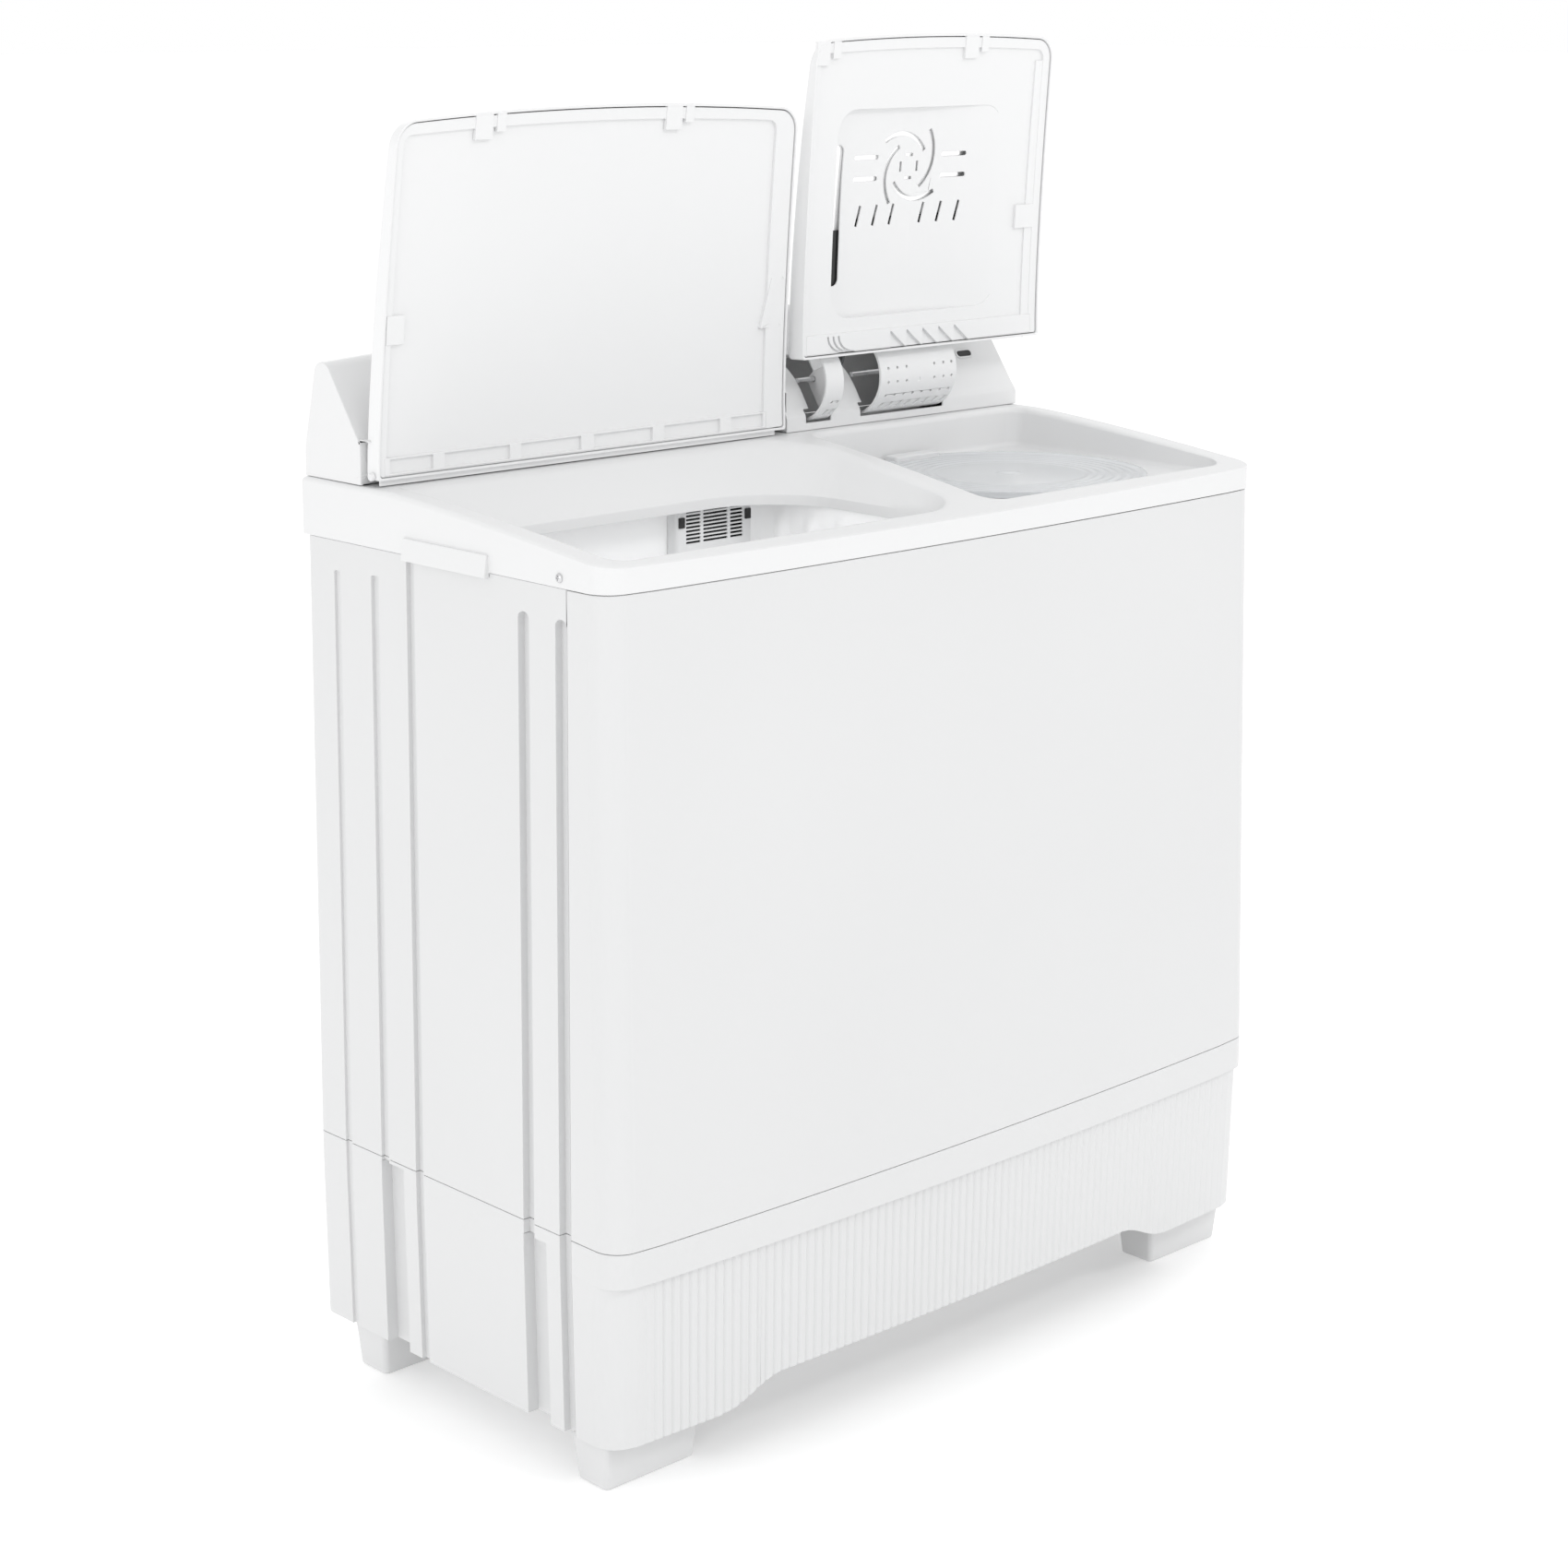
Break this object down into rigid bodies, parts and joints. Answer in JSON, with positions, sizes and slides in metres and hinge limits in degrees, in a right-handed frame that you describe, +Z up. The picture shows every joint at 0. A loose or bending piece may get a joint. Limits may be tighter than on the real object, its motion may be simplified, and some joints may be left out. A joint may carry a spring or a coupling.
{
  "type": "top load washing machine",
  "caption": "Twin-tub top-loading washing machine with a wash tub, a spin dryer, open hinged lids, a rear control panel and short feet.",
  "frame": {"origin": "on the floor, under the middle of the machine's box with both lids open", "axes": "+Z up, +X to the right seen from the front, +Y to the rear"},
  "size_m": [0.934, 0.486, 1.3487],
  "materials": {
    "casing_plastic": "moulded white, satin gloss",
    "tub_plastic": "moulded off-white, soft satin",
    "grey_plastic": "moulded mid grey",
    "black_plastic": "moulded black",
    "rubber": "black rubber",
    "bright_steel": "plated steel",
    "basket_metal": "polished sheet",
    "motor_housing": "painted motor housing",
    "painted_steel": "painted sheet steel",
    "cast_alloy": "as cast"
  },
  "bodies": {
    "cabinet": {"base_frame": "casing_plastic", "base_skirt": "casing_plastic", "cabinet_shell": "casing_plastic", "control_panel": "casing_plastic", "cord_gland": "black_plastic", "drain_outlet": "grey_plastic", "drain_valve": "grey_plastic", "drive_belt": "rubber", "front_left_foot": "casing_plastic", "front_panel": "casing_plastic", "front_right_foot": "casing_plastic", "left_frame_screw": "bright_steel", "lid_switch": "black_plastic", "motor_capacitor": "grey_plastic", "pulsator_seal": "rubber", "rear_cover": "tub_plastic", "rear_left_foot": "casing_plastic", "rear_right_foot": "casing_plastic", "right_frame_screw": "bright_steel", "spin_inlet": "grey_plastic", "spin_motor": "motor_housing", "spin_motor_plate": "painted_steel", "spin_shaft_seal": "rubber", "spin_timer": "grey_plastic", "spin_tub": "tub_plastic", "status_window": "black_plastic", "suspension_spring_1": "bright_steel", "suspension_spring_2": "bright_steel", "suspension_spring_3": "bright_steel", "top_frame": "casing_plastic", "wash_gearbox": "cast_alloy", "wash_inlet": "grey_plastic", "wash_motor": "motor_housing", "wash_timer": "grey_plastic", "wash_tub": "tub_plastic"},
    "wash_lid": {"wash_lid": "casing_plastic", "wash_lid_liner": "casing_plastic", "left_lid_pin": "casing_plastic", "right_lid_pin": "casing_plastic"},
    "spin_lid": {"spin_lid": "casing_plastic", "spin_lid_liner": "casing_plastic", "wide_hinge_arm": "casing_plastic", "narrow_hinge_arm": "casing_plastic", "wide_hinge_rod": "bright_steel", "narrow_hinge_rod": "bright_steel"},
    "inner_cover": {"spin_inner_cover": "tub_plastic"},
    "pulsator": {"pulsator": "tub_plastic", "pulsator_shaft": "bright_steel", "driven_pulley": "grey_plastic"},
    "motor_pulley": {"motor_pulley": "grey_plastic"},
    "spin_basket": {"spin_basket": "basket_metal", "spin_shaft": "bright_steel", "brake_drum": "cast_alloy"},
    "wash_timer_knob": {"wash_timer_knob": "tub_plastic"},
    "water_selector_knob": {"water_selector_knob": "tub_plastic"},
    "wash_mode_knob": {"wash_mode_knob": "tub_plastic"},
    "spin_timer_knob": {"spin_timer_knob": "tub_plastic"},
    "lint_filter": {"lint_filter": "tub_plastic"}
  },
  "joints": [
    {"name": "wash_lid_hinge", "type": "hinge", "parent": "cabinet", "child": "wash_lid", "pos_m": [0, 0.131, 0.9355], "axis": [-1, 0, 0], "range_deg": [-90, 0]},
    {"name": "spin_lid_hinge", "type": "hinge", "parent": "cabinet", "child": "spin_lid", "pos_m": [0.2765, 0.1525, 0.9775], "axis": [-1, 0, 0], "range_deg": [-92, 0]},
    {"name": "inner_cover_hinge", "type": "hinge", "parent": "cabinet", "child": "inner_cover", "pos_m": [0.256, 0.106, 0.8875], "axis": [-1, 0, 0], "range_deg": [0, 75]},
    {"name": "pulsator_spin", "type": "hinge", "parent": "cabinet", "child": "pulsator", "pos_m": [-0.205, -0.05, 0.171], "axis": [0, 0, 1], "continuous": true},
    {"name": "motor_pulley_spin", "type": "hinge", "parent": "cabinet", "child": "motor_pulley", "pos_m": [-0.372, 0.085, 0.171], "axis": [0, 0, 1], "continuous": true},
    {"name": "basket_spin", "type": "hinge", "parent": "cabinet", "child": "spin_basket", "pos_m": [0.256, -0.045, 0.29], "axis": [0, 0, 1], "continuous": true},
    {"name": "wash_timer_turn", "type": "hinge", "parent": "cabinet", "child": "wash_timer_knob", "pos_m": [-0.34, 0.18275, 1.01792], "axis": [0, -0.8137, 0.5812], "range_deg": [-300, 0]},
    {"name": "water_selector_turn", "type": "hinge", "parent": "cabinet", "child": "water_selector_knob", "pos_m": [-0.215, 0.18275, 1.02129], "axis": [0, -0.8137, 0.5812], "range_deg": [-90, 0]},
    {"name": "wash_mode_turn", "type": "hinge", "parent": "cabinet", "child": "wash_mode_knob", "pos_m": [-0.09, 0.18275, 1.02315], "axis": [0, -0.8137, 0.5812], "range_deg": [-90, 0]},
    {"name": "spin_timer_turn", "type": "hinge", "parent": "cabinet", "child": "spin_timer_knob", "pos_m": [0.4, 0.18275, 1.01576], "axis": [0, -0.8137, 0.5812], "range_deg": [-300, 0]},
    {"name": "lint_filter_tilt", "type": "hinge", "parent": "cabinet", "child": "lint_filter", "pos_m": [-0.0465, 0.105, 0.64], "axis": [1, 0, 0], "range_deg": [0, 25]}
  ],
  "couplings": [
    {"joint": "motor_pulley_spin", "follows": "pulsator_spin", "ratio": 4.0732}
  ]
}
